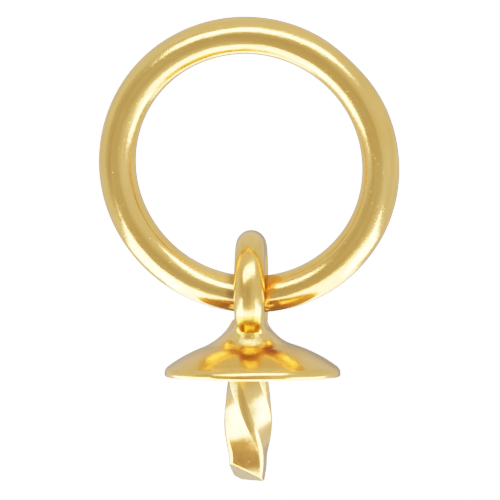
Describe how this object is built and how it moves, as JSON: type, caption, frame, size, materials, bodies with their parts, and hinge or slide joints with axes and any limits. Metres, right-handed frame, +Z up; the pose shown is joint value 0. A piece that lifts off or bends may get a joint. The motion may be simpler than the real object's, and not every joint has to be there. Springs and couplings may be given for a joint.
{
  "type": "bail finding",
  "caption": "Closed ring with a swinging eye, shallow pearl cup and twisted square peg, for hanging a half-drilled pearl or bead.",
  "frame": {"origin": "inner top of the ring, where a chain or a hook carries it", "axes": "+Z up, the drop hangs along -Z; -Y is the front, from which the ring is seen as a circle and the eye edge-on; +X to the right"},
  "size_m": [0.0068, 0.004, 0.0105],
  "materials": {
    "gold_ring": "polished gold plate",
    "gold_drop": "polished gold plate"
  },
  "bodies": {
    "ring": {"bail_ring": "gold_ring"},
    "drop": {"cup_and_peg": "gold_drop"}
  },
  "joints": [
    {"name": "drop_swing", "type": "hinge", "parent": "ring", "child": "drop", "pos_m": [0, 0.00111, -0.00545], "axis": [1, 0, 0], "continuous": true}
  ]
}
